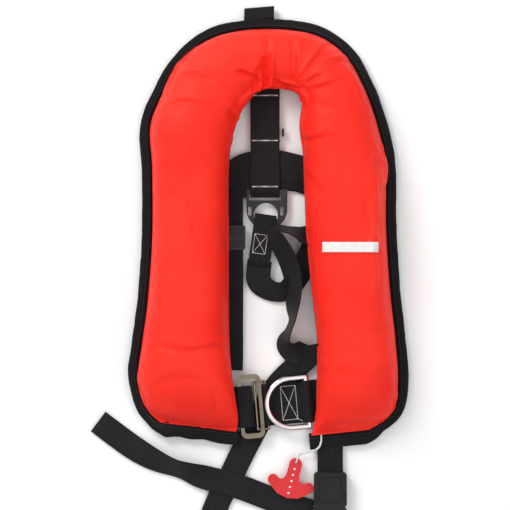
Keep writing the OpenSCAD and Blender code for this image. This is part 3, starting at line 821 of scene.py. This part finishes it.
tab = [tuple(np.array([-4.5, -174.5, 2.2 + z]) + tab_axis * a) for a, z in oval(0.7, 56.6, 4.4)]
strap("back_tab_web", tab, 24, node="back_tab", across=tuple(-tab_across), steps=3)
strap("keeper_web", [(14, -84.5, 2), (14.6, -84.5, 4.5), (14, -84.5, 7)], 8.5, thick=1.6,
      node="strap_keeper", across=(0, 1, 0), steps=3)
buckle_side = [(-409.5, 3.9), (-430, 3.9), (-448, 3.9), (-453, 4.6), (-457, 5.6), (-461, 5.9),
               (-469, 5.9)]
strap("buckle_web", [(66, y, z) for y, z in buckle_side], 28, node="buckle_strap",
      across=(1, 0, 0), steps=4)
adjuster = [(66, -506.2 - a, 2.9 + z) for a, z in oval(0, 24.6, 7.2)]
strap("adjuster_web", adjuster, 27, body="buckle_male", node="crotch_strap_loop",
      across=(-1, 0, 0), steps=3)

# Crotch strap: webbing from the tab, round below the view, to the buckle, and its loose tail.
# Each point is x, y, z and the webbing's roll in degrees.
crotch_upper = [
    (-11.2, -225, 4.4, 0), (-12.6, -236, 4.4, 0), (-12.4, -246, 4.4, 0), (-6, -254, 6.5, 25),
    (4, -259, 9, 35),
    (15, -259, 9.4, 35), (24, -252, 9, 30), (31, -241, 8.2, 22), (38, -229, 7.6, 12),
    (45, -217, 7.2, 5), (49, -207, 7.4, 8), (45, -200, 8.6, 24), (36, -197.6, 14, 50),
    (26, -193.6, 17, 68), (17, -191, 18.4, 74), (8, -190, 20.4, 70), (4, -195, 21.4, 58),
    (8, -204, 20.4, 48), (15, -216, 18, 44), (21, -230, 16, 42), (25, -246, 15.4, 46),
    (25.5, -262, 15, 52), (24.5, -277, 15, 62), (24, -290, 15, 76), (20, -302, 14, 76),
    (16.5, -311, 12.5, 62), (19, -319, 9.6, 36), (27, -325.5, 6.4, 12), (36, -330, 4.4, 0),
]
crotch_lower = [
    (41, -318, 9.6, 30), (42.5, -324, 8, 18), (39.5, -331.5, 4.6, 4), (30, -341, 2.4, 0),
    (9, -362, 1.2, 0), (-4, -385, 1.0, 0), (-17, -411, 1.0, 0), (-27, -430, 1.0, 0),
    (-36, -448, 1.0, 0), (-45, -467, 1.0, 0), (-57, -490, 1.0, 0), (-64, -512, 1.0, 0),
    (-62, -538, 1.0, 0), (-46, -560, 1.0, 0), (-18, -570, 1.0, 0), (14, -571, 1.0, 0),
    (42, -563, 1.0, 0), (60, -545, 1.0, 0), (66, -522, 1.0, 0), (66, -508, 1.0, 0),
]
crotch_tail = [
    (-189, -402, 1.0, 0), (-154, -428, 1.0, 0), (-130, -442, 5, 20), (-108, -451, 9, 40),
    (-92, -456, 9, 35), (-72, -463, 5, 8), (-50, -469, 2.7, 0), (-30, -475, 2.6, 0),
    (-12, -482, 1.2, 0), (6, -489, 1.0, 0), (30, -497, 1.0, 0), (46, -502, 1.0, 0),
]
crotch_w = 27.0
for name, route, node, held in (
        ("crotch_web_upper", crotch_upper, ["crotch_strap"], "folded"),
        ("crotch_web_lower", crotch_lower, [], "laid"),
        ("crotch_web_tail", crotch_tail, ["crotch_strap_tail"], "laid")):
    piece = strap(name, route, crotch_w, node=node, material=web_soft, steps=7, thick=1.3,
                  ripple=0.15)

# ---------------------------------------------------------------- stitching


def crossed_box(centre, x_axis, y_axis, size):
    """Runs of the box and cross that hold a folded webbing end."""
    w, h = size[0] / 2, size[1] / 2

    def at(a, b):
        return tuple(np.array(centre) + np.array(x_axis) * a * w + np.array(y_axis) * b * h)

    return [[at(-1, -1), at(1, -1)], [at(1, -1), at(1, 1)], [at(1, 1), at(-1, 1)],
            [at(-1, 1), at(-1, -1)], [at(-1, -1), at(1, 1)], [at(1, -1), at(-1, 1)]]


box_centre = line_middle + line_x * 21 + np.array([0, 0, 6.55])
runs = crossed_box(box_centre, line_x, line_y, (16.5, 37))
tail_end = box_centre + line_x * 8.5 - line_y * 18.5
runs.append([tuple(tail_end), tuple(tail_end + line_x * 4 - line_y * 2 + (0, 0, 0.2)),
             tuple(tail_end + line_x * 5.5 - line_y * 5.5 + (0, 0, 0.2))])
box = stitches("belt_cross_stitch", runs, thread_white, "jacket", 2.4, 0.42,
               replaces=["belt_stitching"])
tab_centre = (-11, -207, 7.5)
tab_box = stitches("tab_cross_stitch", crossed_box(tab_centre, tab_across, tab_axis, (14, 21)),
                   thread_white, "jacket", 2.2, 0.4, replaces=["back_tab_stitching"])
tacks = []
for y in (-44, -93.5, -144):
    zig = [(-19.5 + k * 0.55, y + (0.8 if k % 2 else -0.8), 7.3) for k in range(52)]
    tacks.append(zig)
bar_tacks = stitches("strap_bar_tacks", tacks, thread_white, "jacket", 1.6, 0.42,
                     replaces=["back_strap_bartacks"])

# ---------------------------------------------------------------- small soft pieces

hang = [(-12 + (a - 7) * 0.02, 38.6 + a, h + 3.3) for a, h in oval(0.7, 13.0, 3.2)]
strap("hang_loop_web", hang, 33, node="hang_loop", thick=1.3, across=(0.9965, 0.0836, 0),
      steps=3)


def bar_on_cover():
    """Pale reflective bar laid on the puffed cover, following its surface."""
    grid = rows.reshape(-1, 3)
    x0, x1, y0, y1 = 56.0, 116.0, -216.0, -205.0
    across, along = 10, 50
    lift = 0.9
    verts = []
    for i in range(along + 1):
        for j in range(across + 1):
            x, y = x0 + (x1 - x0) * i / along, y0 + (y1 - y0) * j / across
            d = np.hypot(grid[:, 0] - x, grid[:, 1] - y)
            near = np.argsort(d)[:8]
            w = 1 / (d[near] + 0.5) ** 2
            verts.append(np.array([x, y, (grid[near, 2] * w).sum() / w.sum() + lift]) * MM)
    piece = new_object("reflective_tape", verts, grid_faces(along + 1, across + 1),
                       pale_reflective, "jacket", None, ["reflective_bar"])
    thick = piece.modifiers.new("film", "SOLIDIFY")
    thick.thickness = 0.0004
    thick.offset = 1


bar_on_cover()


def fold_bladder():
    """The folded bladder: its CAD form remeshed, crumpled a little and flattened."""
    size = 0.0016                         # depth of the crumples
    settle, settle_from = 0.8, 0.011      # share of the height kept above its underside
    collar_y, collar_ease, collar_drop = -0.10, 0.05, 0.22
    piece = nodes["bladder"].copy()
    piece.data = nodes["bladder"].data.copy()
    piece.name = "folded_bladder"
    piece.parent = None
    for key in list(piece.keys()):
        del piece[key]
    scene.collection.objects.link(piece)
    remesh = piece.modifiers.new("even", "REMESH")
    remesh.mode = "VOXEL"
    remesh.voxel_size = 0.006
    ready = piece.evaluated_get(bpy.context.evaluated_depsgraph_get())
    mesh = bpy.data.meshes.new_from_object(ready)
    piece.modifiers.clear()
    piece.data = mesh
    for v in mesh.vertices:
        p = v.co * 45
        push = noise.noise(p) + 0.5 * noise.noise(p * 2.7)
        v.co -= v.normal * (abs(push) * size + size * 0.3)
        low_collar = min(max((v.co.y - collar_y) / collar_ease, 0), 1) * collar_drop
        v.co.z = settle_from + (v.co.z - settle_from) * (settle - low_collar)
    mesh.materials.clear()
    mesh.materials.append(bladder_cloth)
    for poly in mesh.polygons:
        poly.use_smooth = True
    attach(piece, "jacket")
    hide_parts("bladder")
    return piece


fold_bladder()
for side, x in (("left", -88), ("right", 84)):
    patch = ribbon("bladder_patch_" + side, [(x, y, 46.4) for y in (-187, -165, -143)],
                   20, pale_reflective, "jacket", thick=0.5, steps=6,
                   replaces=["bladder_reflectors"] if side == "left" else [])
becket = [(96, -125.7 - a, 5.9 + z) for a, z in oval(0, 68.6, 3.2)]
piece = ribbon("lifting_becket_web", becket, 20, web_white, "jacket", steps=3, across=(-1, 0, 0),
               replaces=["lifting_becket"])

# ---------------------------------------------------------------- CAD pieces with finishes

# Material of each CAD node that shows as it is, and the rounding of its edges in metres.
finishes = {
    "closure_tape": (hook_tape, 0.0003),
    "oral_tube": (rubber, 0.0006), "oral_valve": (white_plastic, 0.0004),
    "dust_cap": (yellow_plastic, 0.0006), "whistle": (orange_plastic, 0.0006),
    "manifold_stem": (brass, 0.0004), "manifold_nut": (bright_steel, 0.0004),
    "inflator_body": (yellow_plastic, 0.0008), "manual_lever": (dark_plastic, 0.0005),
    "lever_pin": (bright_steel, 0.0003), "piercing_pin": (bright_steel, 0.0003),
    "bobbin": (white_plastic, 0.0004), "bobbin_cap": (green_plastic, 0.0008),
    "gas_cylinder": (grey_paint, 0.0004), "pull_handle": (red_plastic, 0.0007),
    "back_plate": (dark_plastic, 0.0006), "belt_slider": (dark_plastic, 0.0007),
    "buckle_frame": (stainless, 0.0016), "buckle_link": (stainless, 0),
    "d_ring": (chrome, 0), "buckle_female": (black_plastic, 0.0012),
    "buckle_male": (black_plastic, 0.001),
}
for name, (material, edge) in finishes.items():
    part = nodes[name]
    part.data.materials.clear()
    part.data.materials.append(material)
    for poly in part.data.polygons:
        poly.use_smooth = True
    if edge:
        bevel(part, edge)
    else:
        split = part.modifiers.new("facets", "EDGE_SPLIT")
        split.split_angle = math.radians(40)

# Raised dots down the handle's stem, and lips round its cord hole and its two arms' ends.
tilt = math.radians(-14.2)
handle_x = np.array([math.cos(tilt), math.sin(tilt), 0])
handle_y = np.array([-math.sin(tilt), math.cos(tilt), 0])
handle_at = np.array([21, -477, 0.0])
handle_top = np.array([0, 0, 6.5])


def dome(centre, radius, height, rings=4, sides=16):
    """A low round dot."""
    verts = []
    for r in range(rings):
        a = math.pi / 2 * r / rings
        for k in range(sides):
            t = 2 * math.pi * k / sides
            verts.append(np.array(centre) + (handle_x * math.cos(t) + handle_y * math.sin(t))
                         * radius * math.cos(a) + np.array([0, 0, height * math.sin(a)]))
    verts.append(np.array(centre) + np.array([0, 0, height]))
    last = (rings - 1) * sides
    faces = skin(rings, sides)
    faces += [(last + k, last + (k + 1) % sides, len(verts) - 1) for k in range(sides)]
    faces.append(tuple(range(sides - 1, -1, -1)))
    return verts, faces


def torus(centre, radius, wire, around=32, sides=10):
    """A round lip."""
    verts, faces = [], []
    for i in range(around):
        t = 2 * math.pi * i / around
        d = handle_x * math.cos(t) + handle_y * math.sin(t)
        for k in range(sides):
            a = 2 * math.pi * k / sides
            verts.append(np.array(centre) + d * (radius + wire * math.cos(a))
                         + np.array([0, 0, wire * math.sin(a)]))
    for i in range(around):
        for k in range(sides):
            faces.append((i * sides + k, ((i + 1) % around) * sides + k,
                          ((i + 1) % around) * sides + (k + 1) % sides,
                          i * sides + (k + 1) % sides))
    return verts, faces


def tube(name, points, radius, material, body, sides=10):
    """A short round piece that follows points in mm."""
    p = smooth(points, 5)
    along = tangents(p)
    verts = []
    for c, t in zip(p, along):
        side = np.cross(t, handle_x)
        side /= np.linalg.norm(side)
        other = np.cross(t, side)
        for k in range(sides):
            a = 2 * math.pi * k / sides
            verts.append((c + (math.cos(a) * side + math.sin(a) * other) * radius) * MM)
    faces = skin(len(p), sides) + caps(len(p), sides)
    return new_object(name, verts, faces, material, body)


def on_handle(x, y, z):
    """A point given from the handle's own centre, in mm."""
    return tuple(handle_at + handle_x * x + handle_y * y + np.array([0, 0, z]))


knot = [(0.4, 37.6, 4.4), (0.3, 37.4, 6.6), (0.1, 35, 7.8), (0, 32.4, 7.2), (0, 31.1, 4.4)]
tie = tube("cord_tie", [on_handle(*place) for place in knot], 1.0, cord_white, "pull")
dots = [dome(handle_at + handle_y * (24 - 6.8 * k) + handle_top, 1.3, 0.5) for k in range(5)]
lips = [torus(handle_at + handle_y * 31 + handle_top, 3.0, 0.7)]
lips += [torus(handle_at + handle_x * 20 * side + handle_y * 7.2 + handle_top, 3.6, 0.55)
         for side in (-1, 1)]
for name, parts, material, slot in (("handle_dots", dots, white_plastic, "white_plastic"),
                                    ("handle_lips", lips, red_plastic, "handle_plastic")):
    verts, faces = joined(parts)
    new_object(name, [v * MM for v in verts], faces, material, "pull")

# Moulded detail on the side-release buckle: a raised border and grip ribs.
low, high = (np.array(corner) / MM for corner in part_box("buckle_female"))
middle, top_z = (low + high) / 2, high[2]


def moulded(name, paths, radius, body):
    """Rounded ridges that stand proud of a moulded face."""
    made = [tube(name + "_%d" % k, path, radius, black_plastic, body)
            for k, path in enumerate(paths)]


w, h, r = 12.0, 13.5, 3.0
border = [(-w, -h + r), (-w, 0), (-w, h - r), (-w + 0.9, h - 0.9), (-w + r, h), (0, h), (w - r, h),
          (w - 0.9, h - 0.9), (w, h - r), (w, 0), (w, -h + r), (w - 0.9, -h + 0.9), (w - r, -h),
          (0, -h), (-w + r, -h), (-w + 0.9, -h + 0.9), (-w, -h + r)]
moulded("buckle_border", [[(middle[0] + x, middle[1] + y, top_z + 0.15) for x, y in border]], 0.55,
        "jacket")
moulded("buckle_grip", [[(middle[0] + side * x, middle[1] + y, top_z + 0.1)
                         for x in (14.6, 15.6, 16.6)]
                        for side in (-1, 1) for y in (-12, -9, -6)], 0.6, "jacket")

# ---------------------------------------------------------------- floor and light


def floor_sheet():
    """A pale floor that curves very slightly up at its far edge. Its sizes are in metres."""
    n, size = 24, 3.0
    flat_to, gap = 2.4, 0.0002
    verts = []
    for i in range(n + 1):
        for j in range(n + 1):
            x, y = -size + 2 * size * i / n, -size + 2 * size * j / n
            rise = max(0.0, math.hypot(x, y) - flat_to) ** 2 * 0.3
            verts.append((x, y, floor_z - gap + rise))
    pale = Finish("pale_floor", (0.93, 0.93, 0.93), 0.9, spec=0.1)
    pale.tint(pale.noise(3, 2), (0.91, 0.91, 0.915))
    floor = new_object("floor", verts, grid_faces(n + 1, n + 1), pale.material, None)


floor_sheet()


def lamp(name, place, aim, size, power):
    """A soft rectangular lamp turned towards aim."""
    data = bpy.data.lights.new(name, "AREA")
    data.shape = "RECTANGLE"
    data.size, data.size_y = size
    data.energy = power
    light = bpy.data.objects.new(name, data)
    light.location = place
    light.rotation_euler = (Vector(aim) - Vector(place)).to_track_quat("-Z", "Y").to_euler()
    scene.collection.objects.link(light)


lamp("key", (-1.15, 1.15, 1.35), (0, -0.2, 0), (0.9, 0.9), 30)
lamp("fill", (1.2, -0.8, 1.8), (0, -0.2, 0), (1.5, 1.5), 7)
# The sky is dim near the horizon and bright overhead.
world = bpy.data.worlds.new("studio")
scene.world = world
world.use_nodes = True
sky = world.node_tree
ramp = sky.nodes.new("ShaderNodeMapRange")
ramp.inputs["From Min"].default_value = 0.05
ramp.inputs["From Max"].default_value = 0.75
ramp.inputs["To Min"].default_value = 0.12
ramp.inputs["To Max"].default_value = 0.9
place = sky.nodes.new("ShaderNodeTexCoord")
parts = sky.nodes.new("ShaderNodeSeparateXYZ")
sky.links.new(place.outputs["Generated"], parts.inputs[0])
sky.links.new(parts.outputs["Z"], ramp.inputs["Value"])
sky.links.new(ramp.outputs["Result"], sky.nodes["Background"].inputs["Strength"])
sky.nodes["Background"].inputs["Color"].default_value = (1, 1, 1, 1)
